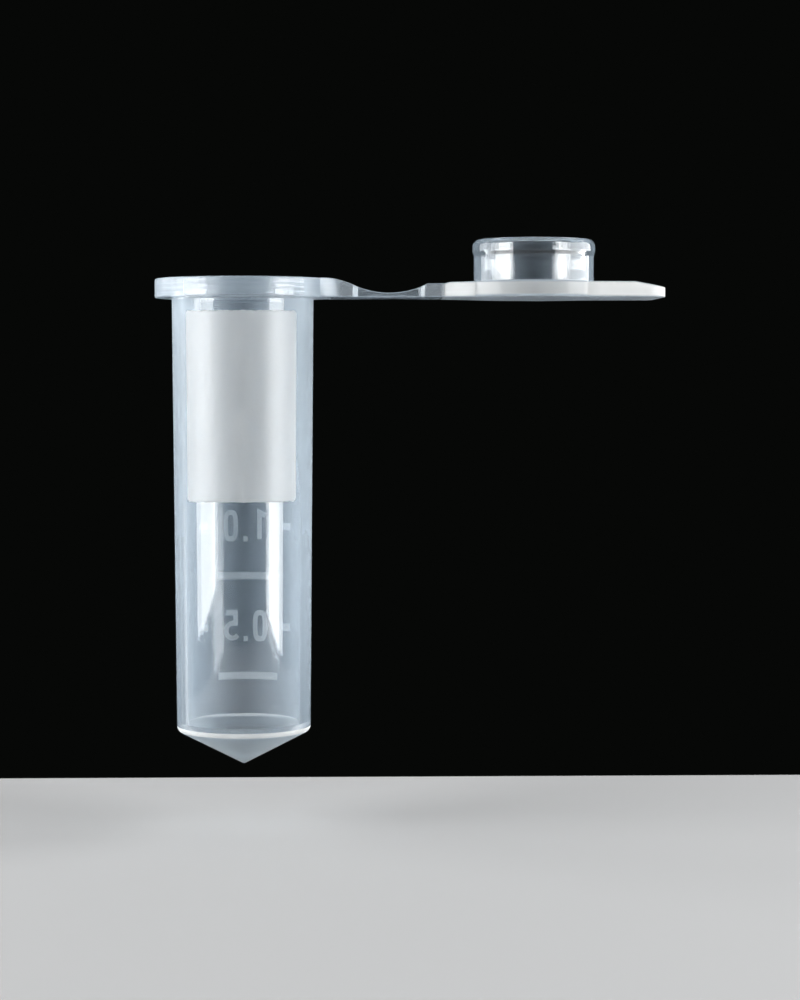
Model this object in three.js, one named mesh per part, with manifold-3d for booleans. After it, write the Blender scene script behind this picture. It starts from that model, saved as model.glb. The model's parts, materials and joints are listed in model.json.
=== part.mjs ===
// A snap-cap microcentrifuge tube of 2 mL, moulded in one piece in natural polypropylene and
// shown with its lid laid open flat, as it leaves the mould.
// Millimetres, +Z up. The origin is on the tube's axis, in the plane of the flange's underside,
// where the tube hangs in a rack. The lid lies towards +X, the writing panel faces -Y and the
// graduations are on the +Y side.

import * as THREE from 'three';
import { mergeVertices } from 'three/addons/utils/BufferGeometryUtils.js';
import Module from 'manifold-3d';

// Driving dimensions: tube
const BARREL_RADIUS = 5.45; // outside, at the flange
const DRAFT = 0.0084; // the barrel's radius lost per millimetre of depth
const CORNER_Z = -33.4; // where the barrel's wall meets the conical base
const CORNER_RADIUS = 0.55;
const TIP_Z = -36.1;
const TIP_RADIUS = 0.3;
const BASE_TOP_Z = -32; // the plane between barrel and base
const FLANGE_RADIUS = 6.75;
const FLANGE_HEIGHT = 1.47;
const EDGE_BREAK = 0.1; // small bevel on moulded edges

// Driving dimensions: bore
const RIM_BORE_RADIUS = 5.04;
const NECK_BORE_RADIUS = 4.97; // in the plane of the flange's underside
const SEAL_Z = -1.4; // the height at which the closed lid's bead sits
const SEAL_BORE_RADIUS = 4.82;
const BORE_START_Z = -2.3; // below the tapered mouth
const BORE_START_RADIUS = 4.66;
const BORE_END_RADIUS = 4.36; // at the base
const FLOOR_RIM_Z = -32.75;
const FLOOR_RIM_RADIUS = 3.95;
const FLOOR_Z = -35.15; // the lowest point inside

// Driving dimensions: lid, laid open
const LID_X = 22.48; // the lid's centre
const LID_RADIUS = 6.6;
const LID_THICKNESS = 1.18;
const LID_EDGE = 0.18;
const PLUG_RADIUS = 4.62;
const PLUG_BORE_RADIUS = 3.95;
const PLUG_TOP_Z = 4.53;
const PLUG_TIP_RADIUS = 4.35; // where the rounded tip of the skirt starts
const BEAD_RADIUS = 4.74;
const BEAD_START_Z = 3.15;
const BEAD_PEAK_Z = 3.95;
const BEAD_END_Z = 4.38;
const TAB_LENGTH = 9.75; // from the lid's centre
const TAB_ROOT_HALF_WIDTH = 5.5;
const TAB_END_HALF_WIDTH = 4.9;
const TAB_CORNER = 1.5;
const TAB_SLOPE_START = 7.3;
const TAB_END_HEIGHT = 0.75;

// Driving dimensions: hinge. Two folding lines join the straps by a thin web, and their spacing
// lets the lid's inner face come down 0.05 mm above the flange.
const CLOSED_GAP = 0.05;
const WEB_THICKNESS = 0.36;
const WEB_Z = WEB_THICKNESS / 2;
const WEB_LENGTH = FLANGE_HEIGHT + LID_THICKNESS - WEB_THICKNESS + CLOSED_GAP;
const HINGE_X = LID_X / 2;
const TUBE_FOLD_X = HINGE_X - WEB_LENGTH / 2;
const LID_FOLD_X = HINGE_X + WEB_LENGTH / 2;
const FOLD_CLEARANCE = 0.03;
const WEB_HALF_WIDTH = 2.8;
const STRAP_HALF_WIDTH = 3.3;
const STRAP_ARC_RADIUS = 6.44; // the hollow over the hinge
const STRAP_SHOULDER = 2.75; // from the hinge's middle to the end of the hollow
const STRAP_BLOCK_HEIGHT = 1.05; // the lid side's block, a little lower than the lid
const JOINT_GAP = 0.02; // between a round edge and what meets it

// Driving dimensions: surface marks
const MARK_GAP = 0.02;
const MARK_RELIEF = 0.06;
const PANEL_TOP_Z = -1.05;
const PANEL_BOTTOM_Z = -15.5;
const PANEL_HALF_ANGLE = THREE.MathUtils.degToRad(50);
const PANEL_CORNER = 0.3;
const PANEL_COLUMNS = 26;
const MARK_1_ML_Z = -17.85;
const QUARTER_ML_PITCH = 3.98;
const DIGIT_HEIGHT = 2.5;
const DIGIT_WIDTH = 1.34;
const STROKE = 0.4;
const NOUGHT_SQUARENESS = 0.62;
const DIGIT_OFFSET = 1.34; // from the numeral's centre to each digit's centre
const BAR_START = -3.15;
const BAR_END = 2.62;
const BAR_HEIGHT = 0.56;
const DASH_START = 3.75;
const DASH_END = 4.9;

const SIDES = 72; // of every round wall
const FRONT = -Math.PI / 2;
const BACK = Math.PI / 2;

const wasm = await Module();
wasm.setup();

const clearPolypropylene = { color: 0xcfd9e2, roughness: 0.28, metalness: 0 };
const frosted = { color: 0xe6ebef, roughness: 0.75, metalness: 0 };
const raisedMark = { color: 0xf1f4f6, roughness: 0.6, metalness: 0 };

const tube = new THREE.Group();

function add(name, geometry, look) {
  const mesh = new THREE.Mesh(geometry, new THREE.MeshStandardMaterial(look));
  mesh.name = name;
  tube.add(mesh);
}

// Curves and solids

function arc(centreX, centreY, radius, from, to, steps) {
  return Array.from({ length: steps + 1 }, (_, i) => {
    const angle = from + ((to - from) * i) / steps;
    return new THREE.Vector2(centreX + radius * Math.cos(angle), centreY + radius * Math.sin(angle));
  });
}

// Turns a closed outline of (radius, height) points about the Z axis.
function turned(points, x = 0) {
  const closed = points[0].x === 0 ? points : [...points, points[0]];
  return new THREE.LatheGeometry(closed, SIDES).rotateX(Math.PI / 2).translate(x, 0, 0);
}

function point(x, y) {
  return new THREE.Vector2(x, y);
}

// An outline in plan, raised from height 0.
function raised(outline, height) {
  return new THREE.ExtrudeGeometry(new THREE.Shape(outline), { depth: height, bevelEnabled: false });
}

// An outline in the XZ plane, drawn out to both sides of it.
function drawnAcross(outline, halfWidth) {
  const options = { depth: 2 * halfWidth, bevelEnabled: false };
  return new THREE.ExtrudeGeometry(new THREE.Shape(outline), options)
    .translate(0, 0, -halfWidth)
    .rotateX(Math.PI / 2);
}

function toSolid(geometry) {
  const bare = geometry.clone();
  bare.deleteAttribute('normal');
  bare.deleteAttribute('uv');
  const merged = mergeVertices(bare, 1e-5);
  return new wasm.Manifold(
    new wasm.Mesh({
      numProp: 3,
      vertProperties: Float32Array.from(merged.attributes.position.array),
      triVerts: Uint32Array.from(merged.index.array),
    })
  );
}

// What a plan outline and a side outline have in common.
function shaped(plan, side) {
  const mesh = toSolid(plan).intersect(toSolid(side)).getMesh();
  const geometry = new THREE.BufferGeometry();
  geometry.setAttribute('position', new THREE.BufferAttribute(mesh.vertProperties, 3));
  geometry.setIndex(new THREE.BufferAttribute(mesh.triVerts, 1));
  geometry.computeVertexNormals();
  return geometry;
}

// Tube

function barrelRadius(z) {
  return BARREL_RADIUS + DRAFT * z;
}

function boreRadius(z) {
  const share = (BORE_START_Z - z) / (BORE_START_Z - BASE_TOP_Z);
  return THREE.MathUtils.lerp(BORE_START_RADIUS, BORE_END_RADIUS, share);
}

function barrel() {
  return turned([
    point(boreRadius(BASE_TOP_Z), BASE_TOP_Z),
    point(barrelRadius(BASE_TOP_Z), BASE_TOP_Z),
    point(BARREL_RADIUS, 0),
    point(NECK_BORE_RADIUS, 0),
    point(SEAL_BORE_RADIUS, SEAL_Z),
    point(BORE_START_RADIUS, BORE_START_Z),
  ]);
}

// The base: an outer cone with a rounded corner and tip, and a hollow that follows it.
function base() {
  const slope = Math.atan2(CORNER_Z - TIP_Z, barrelRadius(CORNER_Z));
  const tipRise = TIP_RADIUS * (1 / Math.cos(slope) - 1);
  const tip = arc(0, TIP_Z + tipRise + TIP_RADIUS, TIP_RADIUS, -Math.PI / 2, slope - Math.PI / 2, 3);
  const setback = CORNER_RADIUS * Math.tan((Math.PI / 2 - slope) / 2);
  const cornerX = barrelRadius(CORNER_Z) - CORNER_RADIUS;
  const corner = arc(cornerX, CORNER_Z + setback, CORNER_RADIUS, slope - Math.PI / 2, 0, 5);
  return turned([
    ...tip.map(({ x, y }) => point(Math.max(x, 0), y)),
    ...corner,
    point(barrelRadius(BASE_TOP_Z), BASE_TOP_Z),
    point(boreRadius(BASE_TOP_Z), BASE_TOP_Z),
    point(boreRadius(BASE_TOP_Z) - 0.09, (BASE_TOP_Z + FLOOR_RIM_Z) / 2 - 0.12),
    point(FLOOR_RIM_RADIUS, FLOOR_RIM_Z),
    point(0.5, FLOOR_Z + 0.2),
    point(0, FLOOR_Z),
  ]);
}

// The flange's underside is split at the barrel's wall, so its outer part rests free on a rack.
function flange() {
  return turned([
    point(NECK_BORE_RADIUS, 0),
    point(BARREL_RADIUS, 0),
    point(FLANGE_RADIUS - EDGE_BREAK / 2, 0),
    point(FLANGE_RADIUS, EDGE_BREAK),
    point(FLANGE_RADIUS, FLANGE_HEIGHT - EDGE_BREAK),
    point(FLANGE_RADIUS - EDGE_BREAK, FLANGE_HEIGHT),
    point(RIM_BORE_RADIUS + EDGE_BREAK, FLANGE_HEIGHT),
    point(RIM_BORE_RADIUS, FLANGE_HEIGHT - EDGE_BREAK),
  ]);
}

// Hinge

// The hollow's height above the hinge's underside, at a distance from its middle.
function hollowHeight(distance) {
  return WEB_THICKNESS + distance ** 2 / (2 * STRAP_ARC_RADIUS);
}

function hollow(from, to, steps) {
  return Array.from({ length: steps + 1 }, (_, i) => {
    const distance = THREE.MathUtils.lerp(from, to, i / steps);
    return point(HINGE_X + distance, hollowHeight(distance));
  });
}

// A strap in plan: its root follows a round edge, then it narrows to the web's width.
function strapPlan(centreX, radius, side, neckX, endX) {
  const spread = Math.asin(STRAP_HALF_WIDTH / radius);
  const towards = side > 0 ? 0 : Math.PI;
  const root = arc(centreX, 0, radius, towards + spread, towards - spread, 8);
  const narrow = [
    point(neckX, -side * STRAP_HALF_WIDTH),
    point(neckX + side * (STRAP_HALF_WIDTH - WEB_HALF_WIDTH), -side * WEB_HALF_WIDTH),
    point(endX, -side * WEB_HALF_WIDTH),
  ];
  const mirrored = narrow.map(({ x, y }) => point(x, -y)).reverse();
  return [...root, ...narrow, ...mirrored];
}

function tubeStrap() {
  const end = TUBE_FOLD_X - WEB_Z - FOLD_CLEARANCE;
  const plan = strapPlan(0, FLANGE_RADIUS + JOINT_GAP, 1, HINGE_X - STRAP_SHOULDER - 0.2, end);
  const shoulder = HINGE_X - STRAP_SHOULDER;
  const side = [
    point(0, 0),
    point(end, 0),
    ...hollow(end - HINGE_X, -STRAP_SHOULDER, 4),
    point(shoulder - 0.55, 1.24),
    point(shoulder - 1.1, 1.4),
    point(FLANGE_RADIUS, FLANGE_HEIGHT),
    point(0, FLANGE_HEIGHT),
  ];
  return shaped(raised(plan, FLANGE_HEIGHT), drawnAcross(side, STRAP_HALF_WIDTH + 1));
}

function lidStrap() {
  const start = LID_FOLD_X + WEB_Z + FOLD_CLEARANCE;
  const neck = HINGE_X + STRAP_SHOULDER + 0.35;
  const plan = strapPlan(LID_X, LID_RADIUS + JOINT_GAP, -1, neck, start);
  const shoulder = HINGE_X + STRAP_SHOULDER;
  const blockEnd = LID_X - LID_RADIUS - 0.25;
  const side = [
    point(start, 0),
    point(LID_X, 0),
    point(LID_X, LID_THICKNESS),
    point(LID_X - LID_RADIUS, LID_THICKNESS),
    point(blockEnd, STRAP_BLOCK_HEIGHT),
    point(shoulder + 0.15, STRAP_BLOCK_HEIGHT),
    ...hollow(STRAP_SHOULDER, start - HINGE_X, 4),
  ];
  return shaped(raised(plan, LID_THICKNESS), drawnAcross(side, STRAP_HALF_WIDTH + 1));
}

// The web has a round nose on each folding line, so it turns beside the straps' ends.
function web() {
  const lidNose = arc(LID_FOLD_X, WEB_Z, WEB_Z, -Math.PI / 2, Math.PI / 2, 8);
  const tubeNose = arc(TUBE_FOLD_X, WEB_Z, WEB_Z, Math.PI / 2, 1.5 * Math.PI, 8);
  return drawnAcross([...lidNose, ...tubeNose], WEB_HALF_WIDTH);
}

// Lid

function lidDisc() {
  const edge = arc(LID_RADIUS - LID_EDGE, LID_EDGE, LID_EDGE, -Math.PI / 2, 0, 3);
  return turned(
    [
      point(0, 0),
      ...edge,
      point(LID_RADIUS, LID_THICKNESS - EDGE_BREAK),
      point(LID_RADIUS - EDGE_BREAK, LID_THICKNESS),
      point(0, LID_THICKNESS),
    ],
    LID_X
  );
}

// The thumb tab: its inner edge follows the disc and its upper face slopes down to a blunt end.
function lidTab() {
  const radius = LID_RADIUS + JOINT_GAP;
  const spread = Math.asin(TAB_ROOT_HALF_WIDTH / radius);
  const inner = arc(LID_X, 0, radius, spread, -spread, 16);
  const end = LID_X + TAB_LENGTH;
  const lowerCorner = arc(
    end - TAB_CORNER,
    -TAB_END_HALF_WIDTH + TAB_CORNER,
    TAB_CORNER,
    -Math.PI / 2,
    0,
    5
  );
  const upperCorner = lowerCorner.map(({ x, y }) => point(x, -y)).reverse();
  const side = [
    point(LID_X, 0),
    point(end - LID_EDGE, 0),
    point(end, LID_EDGE),
    point(end, TAB_END_HEIGHT),
    point(LID_X + TAB_SLOPE_START, LID_THICKNESS),
    point(LID_X, LID_THICKNESS),
  ];
  const plan = raised([...inner, ...lowerCorner, ...upperCorner], LID_THICKNESS);
  return shaped(plan, drawnAcross(side, TAB_ROOT_HALF_WIDTH + 1));
}

// The plug is an open skirt with a rounded tip, and a sealing bead around its end.
function plugSkirt() {
  const wall = PLUG_RADIUS - PLUG_BORE_RADIUS;
  const tipInner = PLUG_BORE_RADIUS + 0.12;
  return turned(
    [
      point(PLUG_BORE_RADIUS, LID_THICKNESS),
      point(PLUG_RADIUS, LID_THICKNESS),
      point(PLUG_RADIUS, BEAD_END_Z),
      point(PLUG_TIP_RADIUS + wall * 0.15, PLUG_TOP_Z - 0.03),
      point(PLUG_TIP_RADIUS, PLUG_TOP_Z),
      point(tipInner, PLUG_TOP_Z - 0.03),
      point(PLUG_BORE_RADIUS, PLUG_TOP_Z - 0.2),
    ],
    LID_X
  );
}

function sealBead() {
  const height = BEAD_RADIUS - PLUG_RADIUS;
  const rising = Array.from({ length: 5 }, (_, i) => {
    const share = i / 4;
    const lift = (height * (1 - Math.cos(Math.PI * share))) / 2;
    return point(PLUG_RADIUS + lift, THREE.MathUtils.lerp(BEAD_START_Z, BEAD_PEAK_Z, share));
  });
  const falling = Array.from({ length: 3 }, (_, i) => {
    const share = (i + 1) / 3;
    const lift = height * Math.cos((Math.PI / 2) * share);
    return point(PLUG_RADIUS + lift, THREE.MathUtils.lerp(BEAD_PEAK_Z, BEAD_END_Z, share));
  });
  return turned([...rising, ...falling], LID_X);
}

// Surface marks

// Wraps a flat piece (along, up, out) on the barrel's wall, its middle at an angle and a height.
function wrapped(geometry, angle, z) {
  const positions = geometry.attributes.position;
  for (let i = 0; i < positions.count; i += 1) {
    const height = z + positions.getY(i);
    const radius = barrelRadius(height) + MARK_GAP + positions.getZ(i);
    const turn = angle + positions.getX(i) / BARREL_RADIUS;
    positions.setXYZ(i, radius * Math.cos(turn), radius * Math.sin(turn), height);
  }
  geometry.computeVertexNormals();
  return geometry;
}

function slab(from, to, height, columns) {
  return new THREE.BoxGeometry(to - from, height, MARK_RELIEF, columns, 1, 1).translate(
    (from + to) / 2,
    0,
    MARK_RELIEF / 2
  );
}

function writingPanel() {
  const halfLength = PANEL_HALF_ANGLE * BARREL_RADIUS;
  const halfHeight = (PANEL_TOP_Z - PANEL_BOTTOM_Z) / 2;
  const panel = slab(-halfLength, halfLength, 2 * halfHeight, PANEL_COLUMNS);
  const positions = panel.attributes.position;
  for (let i = 0; i < positions.count; i += 1) {
    const past = Math.max(0, Math.abs(positions.getX(i)) - halfLength + PANEL_CORNER);
    const inset = PANEL_CORNER - Math.sqrt(Math.max(0, PANEL_CORNER ** 2 - past ** 2));
    positions.setY(i, positions.getY(i) * (1 - inset / halfHeight));
  }
  return wrapped(panel, FRONT, PANEL_TOP_Z - halfHeight);
}

// Half the width and height of a digit's centre line.
const HALF_W = (DIGIT_WIDTH - STROKE) / 2;
const HALF_H = (DIGIT_HEIGHT - STROKE) / 2;

const DIGIT_LINES = {
  1: () => [point(-0.5, HALF_H - 0.24), point(0.06, HALF_H), point(0.06, -HALF_H)],
  5: () => [
    point(HALF_W, HALF_H),
    point(0, HALF_H),
    point(-HALF_W * 0.85, HALF_H),
    point(-HALF_W * 0.85, 0.2),
    ...arc(-0.12, 0.2 - HALF_W * 1.27, HALF_W * 1.27, Math.PI / 2, -Math.PI * 0.8, 10),
  ],
};

// The sideways step from a centre line to the edge of its stroke, mitred at corners.
function sideSteps(line, closed) {
  return line.map((here, i) => {
    const last = line.length - 1;
    const before = i > 0 ? line[i - 1] : closed ? line[last - 1] : here;
    const after = i < last ? line[i + 1] : closed ? line[1] : here;
    const into = here.clone().sub(before).normalize();
    const out = after.clone().sub(here).normalize();
    const first = into.lengthSq() > 0 ? into : out;
    const second = out.lengthSq() > 0 ? out : into;
    const normal = point(-first.y - second.y, first.x + second.x).normalize();
    const mitre = Math.abs(normal.dot(point(-first.y, first.x)));
    return normal.multiplyScalar(STROKE / 2 / mitre);
  });
}

// Bends a straight bar, whose x runs from 0 to 1, along a centre line.
function alongLine(bar, line, closed) {
  const steps = sideSteps(line, closed);
  const positions = bar.attributes.position;
  for (let i = 0; i < positions.count; i += 1) {
    const index = Math.round(positions.getX(i) * (line.length - 1));
    const across = positions.getY(i);
    positions.setX(i, line[index].x + steps[index].x * across);
    positions.setY(i, line[index].y + steps[index].y * across);
  }
  return bar;
}

function strokeDigit(line) {
  const bar = new THREE.BoxGeometry(1, 2, MARK_RELIEF, line.length - 1, 1, 1);
  return alongLine(bar.translate(0.5, 0, MARK_RELIEF / 2), line, false);
}

// Draws a circle's cosine or sine out towards a square.
function squared(value) {
  return Math.sign(value) * Math.abs(value) ** NOUGHT_SQUARENESS;
}

// A nought is a square-sectioned ring, drawn into a straight-sided oval with an even stroke.
function nought() {
  const ring = [point(-1, 0), point(1, 0), point(1, MARK_RELIEF), point(-1, MARK_RELIEF)];
  const section = [...ring, ring[0]].map(({ x, y }) => point(x + 10, y));
  const sides = 20;
  const line = Array.from({ length: sides + 1 }, (_, i) => {
    const angle = (2 * Math.PI * i) / sides;
    return point(HALF_W * squared(Math.cos(angle)), HALF_H * squared(Math.sin(angle)));
  });
  const steps = sideSteps(line, true);
  const geometry = new THREE.LatheGeometry(section, sides);
  const positions = geometry.attributes.position;
  for (let i = 0; i < positions.count; i += 1) {
    const column = Math.floor(i / section.length) % sides;
    const { x: radius, y: out } = section[i % section.length];
    const across = 10 - radius;
    positions.setXYZ(
      i,
      line[column].x + steps[column].x * across,
      line[column].y + steps[column].y * across,
      out
    );
  }
  return geometry;
}

function digit(character) {
  return character === '0' ? nought() : strokeDigit(DIGIT_LINES[character]());
}

// A numeral such as 1.0 with a short dash to each side of it.
function addNumeral(whole, tenth, z) {
  const name = `mark_${whole}_${tenth}`;
  const dot = slab(-STROKE / 2, STROKE / 2, STROKE, 1).translate(0, -HALF_H, 0);
  add(`${name}_digit_a`, wrapped(digit(whole).translate(-DIGIT_OFFSET, 0, 0), BACK, z), raisedMark);
  add(`${name}_point`, wrapped(dot, BACK, z), raisedMark);
  add(`${name}_digit_b`, wrapped(digit(tenth).translate(DIGIT_OFFSET, 0, 0), BACK, z), raisedMark);
  add(`${name}_dash_a`, wrapped(slab(-DASH_END, -DASH_START, BAR_HEIGHT, 2), BACK, z), raisedMark);
  add(`${name}_dash_b`, wrapped(slab(DASH_START, DASH_END, BAR_HEIGHT, 2), BACK, z), raisedMark);
}

function addBar(name, z) {
  add(name, wrapped(slab(BAR_START, BAR_END, BAR_HEIGHT, 10), BACK, z), raisedMark);
}

// The assembly

add('tube_barrel', barrel(), clearPolypropylene);
add('base_cone', base(), clearPolypropylene);
add('rim_flange', flange(), clearPolypropylene);
add('tube_strap', tubeStrap(), clearPolypropylene);
add('hinge_web', web(), clearPolypropylene);
add('lid_strap', lidStrap(), clearPolypropylene);
add('lid_disc', lidDisc(), clearPolypropylene);
add('lid_tab', lidTab(), clearPolypropylene);
add('plug_skirt', plugSkirt(), clearPolypropylene);
add('seal_bead', sealBead(), clearPolypropylene);
add('writing_panel', writingPanel(), frosted);
[
  ['1', '5'],
  ['1', '0'],
  ['0', '5'],
].forEach(([whole, tenth], row) => {
  const z = MARK_1_ML_Z + (1 - row) * 2 * QUARTER_ML_PITCH;
  addNumeral(whole, tenth, z);
  addBar(`mark_bar_${row + 1}`, z - QUARTER_ML_PITCH);
});

export default tube;
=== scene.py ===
import json
import math

import bmesh
import bpy
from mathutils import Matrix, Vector


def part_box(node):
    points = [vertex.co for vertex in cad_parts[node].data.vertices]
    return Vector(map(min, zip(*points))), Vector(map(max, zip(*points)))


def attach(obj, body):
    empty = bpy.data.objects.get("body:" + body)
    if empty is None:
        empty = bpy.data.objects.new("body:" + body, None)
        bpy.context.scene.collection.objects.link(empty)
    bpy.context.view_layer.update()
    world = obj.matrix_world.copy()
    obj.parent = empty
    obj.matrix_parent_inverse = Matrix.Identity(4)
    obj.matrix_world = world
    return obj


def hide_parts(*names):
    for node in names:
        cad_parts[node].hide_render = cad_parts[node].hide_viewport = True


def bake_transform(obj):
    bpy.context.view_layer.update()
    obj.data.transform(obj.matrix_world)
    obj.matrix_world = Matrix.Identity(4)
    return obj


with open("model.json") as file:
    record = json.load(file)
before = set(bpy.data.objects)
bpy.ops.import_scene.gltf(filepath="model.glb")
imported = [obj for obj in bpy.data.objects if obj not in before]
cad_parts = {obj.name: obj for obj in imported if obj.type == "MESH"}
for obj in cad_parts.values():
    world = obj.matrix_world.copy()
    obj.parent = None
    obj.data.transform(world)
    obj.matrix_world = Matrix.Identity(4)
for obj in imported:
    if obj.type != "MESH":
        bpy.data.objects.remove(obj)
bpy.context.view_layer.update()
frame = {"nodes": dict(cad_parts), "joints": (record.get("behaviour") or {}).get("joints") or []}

# Sizes below are in millimetres in the object's own frame, as the CAD has them; MM turns them to metres.
MM = 0.001


def node_box(name):
    """A CAD node's lowest and highest corners, in millimetres."""
    low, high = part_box(name)
    return low / MM, high / MM


# Read from the frame
DISC_LOW, DISC_HIGH = node_box("lid_disc")
PLUG_LOW, PLUG_HIGH = node_box("plug_skirt")
BEAD_LOW, BEAD_HIGH = node_box("seal_bead")
PANEL_LOW, PANEL_HIGH = node_box("writing_panel")
FLANGE_RADIUS, _, FLANGE_TOP = node_box("rim_flange")[1]
BARREL_RADIUS = node_box("tube_barrel")[1].x
TIP_Z = node_box("base_cone")[0].z
LID_X = (DISC_LOW.x + DISC_HIGH.x) / 2
LID_RADIUS = (DISC_HIGH.x - DISC_LOW.x) / 2
LID_TOP = DISC_HIGH.z
PLUG_TOP = PLUG_HIGH.z
PLUG_RADIUS = (PLUG_HIGH.x - PLUG_LOW.x) / 2
BEAD_RADIUS = (BEAD_HIGH.x - BEAD_LOW.x) / 2
TAB_END = node_box("lid_tab")[1].x
TUBE_FOLD_X, LID_FOLD_X = (joint["pos_m"][0] / MM for joint in frame["joints"])
HINGE_X = (TUBE_FOLD_X + LID_FOLD_X) / 2
_, WEB_HALF_WIDTH, WEB_THICKNESS = node_box("hinge_web")[1]

# The moulding's own shape: the tube
DRAFT = 0.0084
CORNER_Z = -33.4
TIP_RADIUS = 0.32
MOUTH_RADIUS = 5.06
NECK_BORE_RADIUS = 4.97
SEAL_Z = -1.4
SEAL_BORE_RADIUS = 4.82
BORE_START_Z = -2.3
BORE_START_RADIUS = 4.66
BORE_END_RADIUS = 4.36
FLOOR_RIM_Z = -32.75
FLOOR_FLAT_RADIUS = 0.45
FLOOR_Z = -35.15
ROUND_SIDES = 256
ARC_STEP = math.radians(9)

# The hinge strap, which is hollowed in an arc towards its web and widens at its two ends
STRAP_HALF_WIDTH = 3.3
STRAP_UNDERSIDE = 0.012
STRAP_EDGE = 0.1
STRAP_ARC_RADIUS = 6.44
STRAP_SHOULDER = 2.75
SHOULDER_TAPER = 0.35
BLOCK_HEIGHT = 1.05
BLOCK_RISE_LENGTH = 0.15
TUBE_FLARE_LENGTH = 0.9
TUBE_FLARE_CURVE = 0.28
LID_FLARE_X = 15.45
LID_FLARE_SLOPE = 0.6
LID_FLARE_RISE_LENGTH = 0.4
LID_FLARE_END = 17.7
TUBE_SEAM_X = HINGE_X - 1.75
LID_SEAM_X = HINGE_X + 1.75
BELOW_FLUSH = 0.02

# The lid
PLUG_BORE_RADIUS = 3.95
BEAD_RISE = 0.42
TAB_ROOT = 3.6
TAB_ROOT_HALF_WIDTH = 5.5
TAB_END_HALF_WIDTH = 4.9
TAB_END_HEIGHT = 0.735
TAB_CORNER = 1.5
TAB_EDGE = 0.16
TAB_UNDERSIDE = 0.012
TAB_SLOPE_START = 7.3
TAB_MILK_START = 3.3

# The writing panel
PANEL_HALF_ANGLE = math.radians(50)
PANEL_CORNER = 0.25
PANEL_RELIEF = 0.035
PANEL_GAP = 0.004
PANEL_RAGGEDNESS = 0.035

# How much the plastic scatters: more where it is deep. The ring where the wall runs into the base scatters
# most, and that is a painted glow standing in for light carried down the wall to the corner
BARREL_TOP_MILK = 0.086
BARREL_LOW_MILK = 0.040
BASE_MILK = 0.01
GLOW_RING_MILK = 0.54
GLOW_RING_LOW = -33.47
GLOW_RING_HIGH = -33.05
# The very tip is made whiter: a painted highlight at the apex of the cone
TIP_HIGHLIGHT_MILK = 0.15
CONE_ROUGHNESS = 0.25
FLANGE_MILK = 0.165
STRAP_FACE_MILK = 0.04
STRAP_EDGE_MILK = 0.24
WEB_EDGE_MILK = 0.16
PLATE_FACE_MILK = 0.11
DISC_EDGE_MILK = 0.36
TAB_EDGE_MILK = 0.8
PLUG_MILK = 0.029
BEAD_MILK = 0.02
# The foot of the lid's bead is left nearly clear: a painted shade line under the bead
BEAD_FOOT_SHADE_MILK = 0.003

# Colours
CLEAR_BODY = (0.97, 0.985, 0.99, 1)
# painted shade: the cone's glass is tinted darker to dim the base
CONE_SHADED_BODY = (0.5, 0.6, 0.66, 1)
THIN_HAZE = (0.67, 0.83, 0.98, 1)
THICK_HAZE = (0.95, 0.955, 0.94, 1)
FROSTED_BODY = (0.97, 0.98, 0.98, 1)
FROSTED_VEIL = (0.915, 0.93, 0.935, 1)
FLOOR_COLOR = (0.49, 0.495, 0.5, 1)
SURROUNDINGS_COLOR = (0.0021, 0.0024, 0.0021, 1)
POLYPROPYLENE_IOR = 1.49


# ---------------------------------------------------------------- mesh helpers


def new_object(name, vertices, faces):
    mesh = bpy.data.meshes.new(name)
    mesh.from_pydata([Vector(v) * MM for v in vertices], [], faces)
    mesh.update()
    piece = bpy.data.objects.new(name, mesh)
    bpy.context.scene.collection.objects.link(piece)
    return piece


def rounded(corners):
    """A smooth outline through (radius, height, fillet) corners, each fillet an arc."""
    points = []
    for i, (x, z, fillet) in enumerate(corners):
        here = Vector((x, z))
        if fillet == 0 or i in (0, len(corners) - 1):
            points.append(here)
            continue
        back = (Vector(corners[i - 1][:2]) - here).normalized()
        ahead = (Vector(corners[i + 1][:2]) - here).normalized()
        half = back.angle(ahead) / 2
        setback = fillet / math.tan(half)
        centre = here + (back + ahead).normalized() * fillet / math.sin(half)
        start = here + back * setback - centre
        turn = start.angle_signed(here + ahead * setback - centre)
        steps = max(2, math.ceil(abs(turn) / ARC_STEP))
        for step in range(steps + 1):
            angle = -turn * step / steps
            cos, sin = math.cos(angle), math.sin(angle)
            points.append(centre + Vector((start.x * cos - start.y * sin, start.x * sin + start.y * cos)))
    return points


def finer(points, longest):
    """Splits the long straights of an outline."""
    result = [points[0]]
    for before, here in zip(points, points[1:]):
        steps = max(1, math.ceil((here - before).length / longest))
        result += [before.lerp(here, step / steps) for step in range(1, steps + 1)]
    return result


def turned(name, outline, centre_x=0.0, sides=ROUND_SIDES):
    """A closed outline from axis to axis, turned about a vertical axis."""
    vertices, faces = [], []
    rings = []
    for point in outline:
        if point.x < 1e-6:
            rings.append([len(vertices)])
            vertices.append((centre_x, 0, point.y))
            continue
        rings.append(list(range(len(vertices), len(vertices) + sides)))
        for side in range(sides):
            angle = 2 * math.pi * side / sides
            vertices.append((centre_x + point.x * math.cos(angle), point.x * math.sin(angle), point.y))
    for low, high in zip(rings, rings[1:]):
        for side in range(sides):
            after = (side + 1) % sides
            if len(low) == 1:
                faces.append((low[0], high[after], high[side]))
            elif len(high) == 1:
                faces.append((low[side], low[after], high[0]))
            else:
                faces.append((low[side], low[after], high[after], high[side]))
    return new_object(name, vertices, faces)


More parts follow.
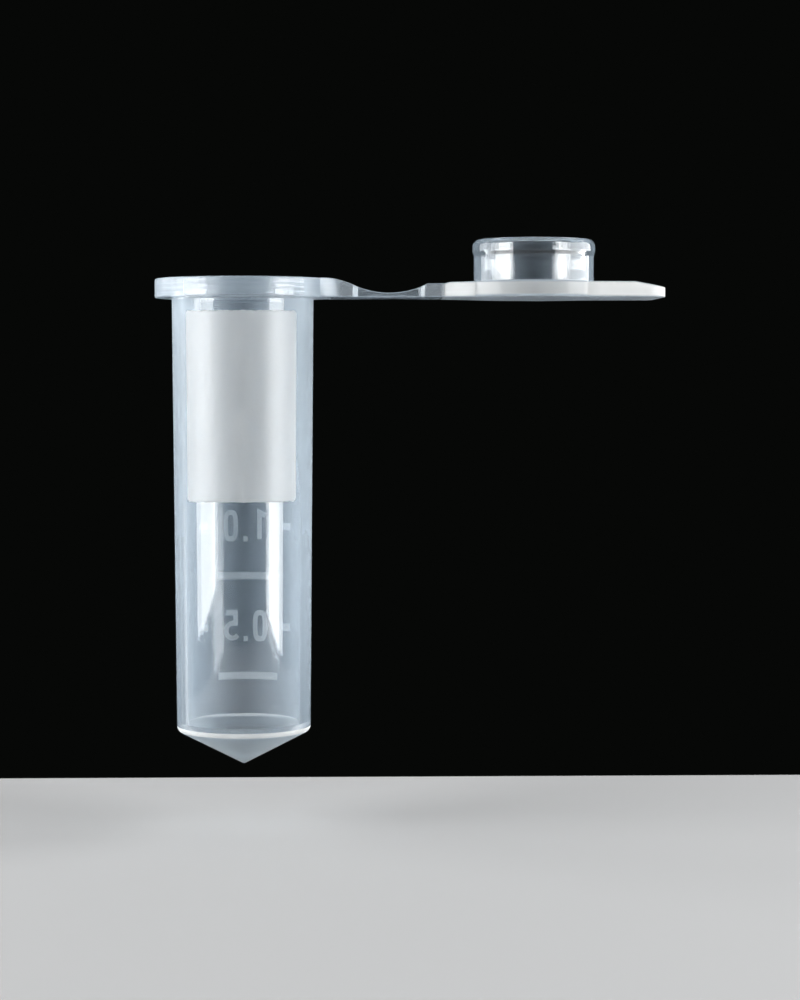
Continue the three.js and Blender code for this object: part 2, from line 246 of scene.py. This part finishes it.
def bar(name, stations, open_start=False, open_end=False, corner_steps=4):
    """A bar along X: each station is (x, half width, low, high, edge radius)."""
    vertices, faces = [], []
    count = 4 * (corner_steps + 1)
    for x, half_width, low, high, edge in stations:
        for turn, (side, upper) in enumerate(((1, 0), (1, 1), (-1, 1), (-1, 0))):
            y = side * (half_width - edge)
            z = high - edge if upper else low + edge
            for step in range(corner_steps + 1):
                angle = (turn - 1 + step / corner_steps) * math.pi / 2
                vertices.append((x, y + edge * math.cos(angle), z + edge * math.sin(angle)))
    for station in range(len(stations) - 1):
        here = station * count
        for step in range(count):
            after = (step + 1) % count
            faces.append((here + step, here + after, here + count + after, here + count + step))
    if not open_start:
        faces.append(tuple(reversed(range(count))))
    if not open_end:
        faces.append(tuple(range(len(vertices) - count, len(vertices))))
    return new_object(name, vertices, faces)


def joined(piece, *others):
    """Welds other solids to a piece, and leaves no face inside it."""
    bpy.context.view_layer.objects.active = piece
    for other in others:
        union = piece.modifiers.new("weld", "BOOLEAN")
        union.operation = "UNION"
        union.solver = "EXACT"
        union.object = other
        bpy.ops.object.modifier_apply(modifier=union.name)
        bpy.data.objects.remove(other)
    return piece


def open_seam(piece, x):
    """Takes away the flat faces in the plane where the piece goes on into the next one."""
    mesh = bmesh.new()
    mesh.from_mesh(piece.data)
    seam = [f for f in mesh.faces if all(abs(v.co.x - x * MM) < 1e-7 for v in f.verts)]
    bmesh.ops.delete(mesh, geom=seam, context="FACES_ONLY")
    mesh.to_mesh(piece.data)
    mesh.free()


def smooth(piece, sharp_degrees=32):
    piece.data.shade_smooth()
    piece.data.set_sharp_from_angle(angle=math.radians(sharp_degrees))
    weighted = piece.modifiers.new("normals", "WEIGHTED_NORMAL")
    weighted.keep_sharp = True
    weighted.weight = 100


def paint(piece, name, value_at):
    """Stores a number for the material to read, from a face's middle, its normal and each of its corners."""
    mesh = piece.data
    values = [
        value_at(face.center / MM, face.normal, mesh.vertices[vertex].co / MM)
        for face in mesh.polygons
        for vertex in face.vertices
    ]
    mesh.attributes.new(name, "FLOAT", "CORNER").data.foreach_set("value", values)


def tooled(middle, normal, _corner):
    """The mould's turning marks show round the flange, the strap and the lid's plate."""
    return 1 - abs(normal.z) if -0.02 < middle.z < FLANGE_TOP + 0.02 else 0


# ---------------------------------------------------------------- the hinge strap


def strap_top(x):
    """The height of the strap's upper face."""
    distance = x - HINGE_X
    hollow = WEB_THICKNESS + distance**2 / (2 * STRAP_ARC_RADIUS)
    if abs(distance) <= STRAP_SHOULDER:
        return hollow
    if distance > 0:
        rise = min(1, (distance - STRAP_SHOULDER) / BLOCK_RISE_LENGTH)
        block = hollow + (BLOCK_HEIGHT - hollow) * rise
        flare = min(1, max(0, (x - LID_FLARE_X) / LID_FLARE_RISE_LENGTH))
        return block + (LID_TOP - 0.03 - block) * flare
    share = min(1, (-distance - STRAP_SHOULDER) / (HINGE_X - STRAP_SHOULDER - FLANGE_RADIUS + 0.3))
    start = WEB_THICKNESS + STRAP_SHOULDER**2 / (2 * STRAP_ARC_RADIUS)
    return start + (FLANGE_TOP - BELOW_FLUSH - start) * math.sin(share * math.pi / 2) ** 0.95


def strap_half_width(x):
    distance = abs(x - HINGE_X)
    share = min(1, max(0, (distance - STRAP_SHOULDER + SHOULDER_TAPER) / SHOULDER_TAPER))
    eased = share * share * (3 - 2 * share)
    width = WEB_HALF_WIDTH + (STRAP_HALF_WIDTH - WEB_HALF_WIDTH) * eased
    if x < HINGE_X:
        flare = max(0, FLANGE_RADIUS + TUBE_FLARE_LENGTH - x)
        return width + TUBE_FLARE_CURVE * flare**2
    return width + LID_FLARE_SLOPE * max(0, x - LID_FLARE_X)


def strap_station(x):
    return (x, strap_half_width(x), STRAP_UNDERSIDE, strap_top(x), STRAP_EDGE)


def spread(start, end, count):
    return [start + (end - start) * i / (count - 1) for i in range(count)]


# ---------------------------------------------------------------- tube


def barrel_radius(z):
    return BARREL_RADIUS + DRAFT * z


def strap_milk(middle, normal, _corner):
    """The strap is thin from above and deep from the side, less so at its narrower web."""
    edge = WEB_EDGE_MILK if abs(middle.x - HINGE_X) < STRAP_SHOULDER - SHOULDER_TAPER else STRAP_EDGE_MILK
    return STRAP_FACE_MILK + (edge - STRAP_FACE_MILK) * (1 - abs(normal.z))


def tube_milk(middle, normal, corner):
    radius = math.hypot(middle.x, middle.y)
    if middle.z > -0.01 and radius > FLANGE_RADIUS + 0.01:
        return strap_milk(middle, normal, corner)
    if middle.z > -0.05:
        return FLANGE_MILK
    # painted highlight: the very tip is made whiter
    if middle.z < TIP_Z + 0.1:
        return TIP_HIGHLIGHT_MILK
    # painted glow: the ring at the foot of the wall is made whiter to stand in for light carried down the
    # wall
    if GLOW_RING_LOW < middle.z < GLOW_RING_HIGH and radius > BORE_START_RADIUS:
        return GLOW_RING_MILK
    if middle.z < CORNER_Z:
        return BASE_MILK
    return BARREL_TOP_MILK + (BARREL_LOW_MILK - BARREL_TOP_MILK) * corner.z / CORNER_Z


# Marks the cone's outer faces: rougher there, and tinted darker as painted shade
def cone_matte_and_shade(middle, normal, _corner):
    return 1 if middle.z < CORNER_Z and normal.z < -0.5 else 0


def make_tube():
    corner_radius = barrel_radius(CORNER_Z)
    slope = math.atan2(CORNER_Z - TIP_Z, corner_radius)
    tip_centre = TIP_Z + TIP_RADIUS
    tip = [
        Vector((TIP_RADIUS * math.sin(slope * i / 4), tip_centre - TIP_RADIUS * math.cos(slope * i / 4)))
        for i in range(5)
    ]
    tip[0].x = 0
    outline = tip + rounded(
        [
            (tip[-1].x, tip[-1].y, 0),
            (corner_radius, CORNER_Z, 0.55),
            (BARREL_RADIUS, 0, 0.16),
            (FLANGE_RADIUS, 0, 0.12),
            (FLANGE_RADIUS, FLANGE_TOP, 0.13),
            (MOUTH_RADIUS, FLANGE_TOP, 0.12),
            (NECK_BORE_RADIUS, -0.1, 0.3),
            (NECK_BORE_RADIUS - 0.02, -0.42, 0.02),
            (NECK_BORE_RADIUS - 0.06, -0.46, 0.02),
            (SEAL_BORE_RADIUS, SEAL_Z, 0.3),
            (BORE_START_RADIUS, BORE_START_Z, 0.3),
            (BORE_END_RADIUS, FLOOR_RIM_Z, 0.02),
            (FLOOR_FLAT_RADIUS, FLOOR_Z + 0.2, 0.5),
            (0, FLOOR_Z, 0),
        ]
    )[1:]
    shell = turned("tube_shell", finer(outline, 1.5))
    root = [strap_station(x) for x in spread(FLANGE_RADIUS - 0.75, TUBE_SEAM_X, 28)]
    strap = bar("strap_root", root)
    joined(shell, strap)
    open_seam(shell, TUBE_SEAM_X)
    paint(shell, "milk", tube_milk)
    paint(shell, "tooled", tooled)
    paint(shell, "matte_and_shade", cone_matte_and_shade)
    smooth(shell)
    return shell


# ---------------------------------------------------------------- lid


def plug_outline():
    """From the lid's upper face up round the plug, over its tip and down to the cup's floor."""
    height = BEAD_RADIUS - PLUG_RADIUS
    start, full = BEAD_LOW.z + 0.05, BEAD_LOW.z + BEAD_RISE
    bead = [
        (PLUG_RADIUS + height * (1 - math.cos(math.pi * i / 12)) / 2, start + (full - start) * i / 12, 0)
        for i in range(13)
    ]
    return bead + [
        (BEAD_RADIUS, full + 0.12, 0),
        (BEAD_RADIUS - 0.015, PLUG_TOP - 0.4, 0.3),
        (BEAD_RADIUS - 0.3, PLUG_TOP, 0.3),
        (PLUG_BORE_RADIUS + 0.08, PLUG_TOP - 0.02, 0.1),
        (PLUG_BORE_RADIUS, PLUG_TOP - 0.35, 0.3),
        (PLUG_BORE_RADIUS, LID_TOP, 0.15),
        (0, LID_TOP, 0),
    ]


def tab_station(x, inset=0.0):
    """The thumb tab narrows a little, has round corners in plan and slopes down to its end."""
    share = (x - LID_X - TAB_ROOT) / (TAB_END - LID_X - TAB_ROOT)
    half_width = TAB_ROOT_HALF_WIDTH + (TAB_END_HALF_WIDTH - TAB_ROOT_HALF_WIDTH) * share
    past = max(0, x - TAB_END + TAB_CORNER)
    half_width -= TAB_CORNER - math.sqrt(max(0, TAB_CORNER**2 - past**2))
    slope_start = LID_X + TAB_SLOPE_START
    fall = max(0, (x - slope_start) / (TAB_END - slope_start))
    start_height = LID_TOP - 0.015
    high = start_height + (TAB_END_HEIGHT - start_height) * fall
    return (x, half_width - inset, TAB_UNDERSIDE + inset, high - inset, TAB_EDGE)


def lid_milk(middle, normal, corner):
    """The lid's plate is deep from the side and the plug's wall is clear. The band at the foot of the bead
    is clearest of all, which is a painted shade line under the bead.
    """
    if middle.z > BEAD_LOW.z + BEAD_RISE:
        return BEAD_MILK
    if middle.z > BEAD_LOW.z:
        # painted shade: a dark line under the bead
        return BEAD_FOOT_SHADE_MILK
    if middle.z > LID_TOP + 0.05:
        return PLUG_MILK
    if middle.x < LID_FLARE_X:
        return strap_milk(middle, normal, corner)
    along_tab = min(1, max(0, corner.x - LID_X - TAB_MILK_START))
    edge = DISC_EDGE_MILK + (TAB_EDGE_MILK - DISC_EDGE_MILK) * along_tab
    return PLATE_FACE_MILK + (edge - PLATE_FACE_MILK) * (1 - abs(normal.z))


def lid_tooled(middle, normal, corner):
    return tooled(middle, normal, corner) if middle.z < LID_TOP else 0


def make_lid():
    outline = rounded(
        [
            (0, 0, 0),
            (LID_RADIUS, 0, 0.22),
            (LID_RADIUS, LID_TOP, 0.12),
            (PLUG_RADIUS, LID_TOP, 0.14),
            *plug_outline(),
        ]
    )
    shell = turned("lid_shell", finer(outline, 1.2), LID_X)
    tab_xs = spread(LID_X + TAB_ROOT, LID_X + TAB_SLOPE_START, 8)
    tab_xs += spread(LID_X + TAB_SLOPE_START, TAB_END - 0.06, 18)[1:]
    tab = bar("tab", [tab_station(x) for x in tab_xs] + [tab_station(TAB_END, 0.05)])
    strap = bar("strap_end", [strap_station(x) for x in spread(LID_SEAM_X, LID_FLARE_END, 36)])
    joined(shell, tab, strap)
    open_seam(shell, LID_SEAM_X)
    paint(shell, "milk", lid_milk)
    paint(shell, "tooled", lid_tooled)
    smooth(shell)
    return shell


# ---------------------------------------------------------------- web


def make_web_half(name, start, end):
    web = bar(name, [strap_station(x) for x in spread(start, end, 30)], True, True)
    paint(web, "milk", strap_milk)
    paint(web, "tooled", tooled)
    smooth(web)
    return web


# ---------------------------------------------------------------- writing panel


def make_panel():
    """A thin skin on the barrel's front, thinning to nothing at its rounded outline."""
    columns, rows = 96, 60
    half_length = PANEL_HALF_ANGLE * BARREL_RADIUS
    half_height = (PANEL_HIGH.z - PANEL_LOW.z) / 2
    middle = (PANEL_HIGH.z + PANEL_LOW.z) / 2

    def eased(i, count):
        share = 2 * i / count - 1
        return math.copysign(1 - (1 - abs(share)) ** 1.5, share)

    def place(column, row, relief):
        along = half_length * eased(column, columns)
        past = max(0, abs(along) - half_length + PANEL_CORNER)
        inset = PANEL_CORNER - math.sqrt(max(0, PANEL_CORNER**2 - past**2))
        ragged = PANEL_RAGGEDNESS * math.sin(7.3 * along) * math.sin(3.1 * along + 1)
        z = middle + (half_height - inset + ragged) * eased(row, rows)
        radius = barrel_radius(z) + PANEL_GAP + relief
        angle = -math.pi / 2 + along / BARREL_RADIUS
        return (radius * math.cos(angle), radius * math.sin(angle), z)

    vertices, faces = [], []
    index = {}
    for layer in (0, 1):
        for column in range(columns + 1):
            for row in range(rows + 1):
                edge = column in (0, columns) or row in (0, rows)
                if layer and edge:
                    index[layer, column, row] = index[0, column, row]
                    continue
                index[layer, column, row] = len(vertices)
                vertices.append(place(column, row, PANEL_RELIEF * layer))
    for layer in (0, 1):
        for column in range(columns):
            for row in range(rows):
                loop = [
                    index[layer, column, row],
                    index[layer, column + 1, row],
                    index[layer, column + 1, row + 1],
                    index[layer, column, row + 1],
                ]
                faces.append(loop if layer else loop[::-1])
    panel = new_object("frosted_panel", vertices, faces)
    panel.data.shade_smooth()
    return panel


# ---------------------------------------------------------------- materials


class Graph:
    """A material's node tree, with short calls to add and link nodes."""

    def __init__(self, name):
        self.material = bpy.data.materials.new(name)
        self.material.use_nodes = True
        self.tree = self.material.node_tree
        self.tree.nodes.clear()
        self.output = self.tree.nodes.new("ShaderNodeOutputMaterial")

    def node(self, kind, inputs=None, **settings):
        node = self.tree.nodes.new("ShaderNode" + kind)
        for key, value in settings.items():
            setattr(node, key, value)
        for key, value in (inputs or {}).items():
            if isinstance(value, bpy.types.NodeSocket):
                self.tree.links.new(value, node.inputs[key])
            else:
                node.inputs[key].default_value = value
        return node

    def noise(self, scale, detail=4.0, stretch=(1, 1, 1), roughness=0.5):
        place = self.node("TexCoord").outputs["Object"]
        mapping = self.node("Mapping", {"Vector": place, "Scale": stretch})
        return self.node(
            "TexNoise",
            {"Vector": mapping.outputs[0], "Scale": scale, "Detail": detail, "Roughness": roughness},
        ).outputs["Fac"]

    def ranged(self, value, low, high, from_low=0.0, from_high=1.0):
        return self.node(
            "MapRange",
            {"Value": value, "From Min": from_low, "From Max": from_high, "To Min": low, "To Max": high},
        ).outputs[0]

    def finish(self, shader):
        self.tree.links.new(shader, self.output.inputs["Surface"])
        return self.material


def polypropylene(name):
    """Natural polypropylene: clear, with a bluish haze that whitens where it is thick or seen edge-on."""
    graph = Graph(name)
    milk = graph.node("Attribute", attribute_name="milk").outputs["Fac"]
    flow = graph.noise(160, 4, (1, 1, 0.25))
    skin = graph.noise(900, 3)
    lines = graph.noise(400, 2, (0.04, 0.04, 9))
    edge = graph.node("Attribute", attribute_name="tooled").outputs["Fac"]
    scored = graph.ranged(lines, 0.07, 0.23, 0.5, 0.62)
    lined = graph.node("Math", {0: lines, 1: edge}, operation="MULTIPLY").outputs[0]
    fine = graph.node("Bump", {"Height": skin, "Strength": 0.02, "Distance": 0.00005})
    bump = graph.node(
        "Bump", {"Height": lined, "Strength": 0.6, "Distance": 0.00006, "Normal": fine.outputs[0]}
    ).outputs[0]
    polish = graph.ranged(flow, 0.02, 0.05)
    matte_and_shade = graph.node("Attribute", attribute_name="matte_and_shade").outputs["Fac"]
    smoothest = graph.node(
        "Math", {0: matte_and_shade, 1: CONE_ROUGHNESS, 2: polish}, operation="MULTIPLY_ADD"
    ).outputs[0]
    roughness = graph.node("Math", {0: edge, 1: scored, 2: smoothest}, operation="MULTIPLY_ADD").outputs[0]
    # painted shade: the cone's faces take the darker glass colour
    body = graph.node("Mix", {0: matte_and_shade, 6: CLEAR_BODY, 7: CONE_SHADED_BODY}, data_type="RGBA").outputs[2]
    glass = graph.node(
        "BsdfPrincipled",
        {
            "Base Color": body,
            "Roughness": roughness,
            "IOR": POLYPROPYLENE_IOR,
            "Transmission Weight": 1.0,
            "Normal": bump,
        },
    )
    facing = graph.node("LayerWeight", {"Blend": 0.5}).outputs["Facing"]
    turned_away = graph.node("Math", {0: facing, 1: 0.5}, operation="MINIMUM").outputs[0]
    rise = graph.node("Math", {0: turned_away}, operation="SQRT").outputs[0]
    reach = graph.ranged(milk, 5.9, 1.5, 0.09, 0.16)
    depth = graph.node("Math", {0: rise, 1: reach, 2: 1.0}, operation="MULTIPLY_ADD").outputs[0]
    clear = graph.node("Math", {0: 1.0, 1: milk}, operation="SUBTRACT").outputs[0]
    passed = graph.node("Math", {0: clear, 1: depth}, operation="POWER").outputs[0]
    scattered = graph.node("Math", {0: 1.0, 1: passed}, operation="SUBTRACT").outputs[0]
    uneven = graph.ranged(flow, 0.85, 1.15)
    share = graph.node("Math", {0: scattered, 1: uneven}, operation="MULTIPLY").outputs[0]
    dense = graph.ranged(share, 0, 1, 0.05, 0.8)
    thick = graph.ranged(milk, 0, 1, 0.15, 0.38)
    whiter = graph.node("Math", {0: dense, 1: thick}, operation="MAXIMUM").outputs[0]
    tint = graph.node("Mix", {0: whiter, 6: THIN_HAZE, 7: THICK_HAZE}, data_type="RGBA").outputs[2]
    through = graph.node("BsdfTranslucent", {"Color": tint, "Normal": bump})
    veil = graph.node("BsdfDiffuse", {"Color": tint, "Normal": bump})
    both = graph.node("MixShader", {0: 0.5, 1: through.outputs[0], 2: veil.outputs[0]})
    capped = graph.node("Math", {0: share, 1: 0.9}, operation="MINIMUM").outputs[0]
    mixed = graph.node("MixShader", {0: capped, 1: glass.outputs[0], 2: both.outputs[0]})
    return graph.finish(mixed.outputs[0])


def frosted(name, share, roughness):
    """A finely textured patch of the wall: it scatters light and blurs what is behind it."""
    graph = Graph(name)
    grain = graph.noise(5200, 2)
    cloud = graph.noise(300, 3)
    worn = graph.noise(1500, 5, (1, 1, 0.4), 0.75)
    bump = graph.node("Bump", {"Height": grain, "Strength": 0.3, "Distance": 0.00003})
    glass = graph.node(
        "BsdfPrincipled",
        {
            "Base Color": FROSTED_BODY,
            "Roughness": graph.ranged(cloud, roughness - 0.04, roughness + 0.04),
            "IOR": POLYPROPYLENE_IOR,
            "Transmission Weight": 1.0,
            "Normal": bump.outputs[0],
        },
    )
    veil = graph.node("BsdfDiffuse", {"Color": FROSTED_VEIL, "Normal": bump.outputs[0]})
    through = graph.node("BsdfTranslucent", {"Color": FROSTED_VEIL, "Normal": bump.outputs[0]})
    both = graph.node("MixShader", {0: 0.5, 1: through.outputs[0], 2: veil.outputs[0]})
    amount = graph.ranged(worn, share * 0.72, share * 1.28, 0.3, 0.7)
    mixed = graph.node("MixShader", {0: amount, 1: glass.outputs[0], 2: both.outputs[0]})
    return graph.finish(mixed.outputs[0])


def painted(name, color, roughness):
    graph = Graph(name)
    cloud = graph.noise(40, 3)
    shader = graph.node(
        "BsdfPrincipled",
        {"Base Color": color, "Roughness": graph.ranged(cloud, roughness - 0.05, roughness + 0.05)},
    )
    return graph.finish(shader.outputs[0])


def dress(piece, material):
    piece.data.materials.clear()
    piece.data.materials.append(material)


# ---------------------------------------------------------------- assembly

clear = polypropylene("natural_polypropylene")
frosted_panel = frosted("frosted_panel_skin", 0.3, 0.34)
frosted_mark = frosted("frosted_mark_skin", 0.45, 0.5)

tube = make_tube()
dress(tube, clear)
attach(tube, "tube")
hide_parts("tube_barrel", "base_cone", "rim_flange", "tube_strap")

lid = make_lid()
dress(lid, clear)
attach(lid, "lid")
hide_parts("lid_strap", "lid_disc", "lid_tab", "plug_skirt", "seal_bead")

web_tube_side = make_web_half("web_tube_side", TUBE_SEAM_X, HINGE_X)
web_lid_side = make_web_half("web_lid_side", HINGE_X, LID_SEAM_X)
for web in (web_tube_side, web_lid_side):
    dress(web, clear)


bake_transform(web_tube_side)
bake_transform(web_lid_side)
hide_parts("hinge_web")

panel = make_panel()
dress(panel, frosted_panel)
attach(panel, "tube")
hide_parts("writing_panel")

for name, node in frame["nodes"].items():
    if name.startswith("mark_"):
        dress(node, frosted_mark)

# ---------------------------------------------------------------- floor, light and camera

STUDIO_FLOOR_Z = TIP_Z - 5
STUDIO_HALF_WIDTH = 90
STUDIO_BACK = 24
STUDIO_MIDDLE = 10
STUDIO_FRONT = -120
CAMERA_PLACE = (6.66, -193.6, -6.0)
CAMERA_TURN = (90 - 2.835, 0, -1.62)
CAMERA_LENS = 90


def make_floor():
    left, right = STUDIO_MIDDLE - STUDIO_HALF_WIDTH, STUDIO_MIDDLE + STUDIO_HALF_WIDTH
    corners = [(left, STUDIO_FRONT), (right, STUDIO_FRONT), (right, STUDIO_BACK), (left, STUDIO_BACK)]
    floor = new_object("floor", [(x, y, STUDIO_FLOOR_Z) for x, y in corners], [(0, 1, 2, 3)])
    dress(floor, painted("pale_floor", FLOOR_COLOR, 0.8))


LIGHT_DISTANCE = 250
LIGHT_TOP = 145
# Each: name, azimuths from straight in front of the object, bottom, radiance, roll
SOFTBOXES = (
    ("softbox_left", (-83, -47), -52, 10.4, -3),
    ("softbox_right", (46, 72), -56, 9.6, 3),
    ("rim_light_inner", (-92, -83), 7, 7.5, 0),
    ("rim_light_left", (-128, -93.2), 7, 3.2, 0),
    ("rim_light_right", (72.3, 124), 7, 7.0, 0),
    ("side_glow_left", (-132, -104), -90, 0.5, 0),
    ("side_glow_right", (84, 118), -90, 0.3, 0),
)


def softbox(name, azimuths, bottom, radiance, roll):
    """A soft light that fills the span between two azimuths."""
    start, end = (math.radians(angle) for angle in azimuths)
    width = 2 * LIGHT_DISTANCE * math.tan(abs(end - start) / 2)
    height = LIGHT_TOP - bottom
    light = bpy.data.lights.new(name, "AREA")
    light.shape = "RECTANGLE"
    light.size, light.size_y = width * MM, height * MM
    light.energy = radiance * math.pi * light.size * light.size_y
    lamp = bpy.data.objects.new(name, light)
    azimuth = (start + end) / 2
    middle = (LIGHT_TOP + bottom) / 2
    lamp.location = Vector((math.sin(azimuth), -math.cos(azimuth), 0)) * LIGHT_DISTANCE * MM
    lamp.location.z = middle * MM
    lamp.rotation_euler = (math.radians(90), math.radians(roll), azimuth)
    bpy.context.scene.collection.objects.link(lamp)


make_floor()
for softbox_row in SOFTBOXES:
    softbox(*softbox_row)

world = bpy.data.worlds.new("studio")
world.use_nodes = True
world.node_tree.nodes["Background"].inputs["Color"].default_value = SURROUNDINGS_COLOR
bpy.context.scene.world = world
bpy.context.scene.view_settings.view_transform = "Standard"

camera_data = bpy.data.cameras.new("camera")
camera_data.lens = CAMERA_LENS
camera_data.clip_start = 0.01
camera_data.clip_end = 10
camera = bpy.data.objects.new("camera", camera_data)
camera.location = Vector(CAMERA_PLACE) * MM
camera.rotation_euler = [math.radians(turn) for turn in CAMERA_TURN]
bpy.context.scene.collection.objects.link(camera)
bpy.context.scene.camera = camera
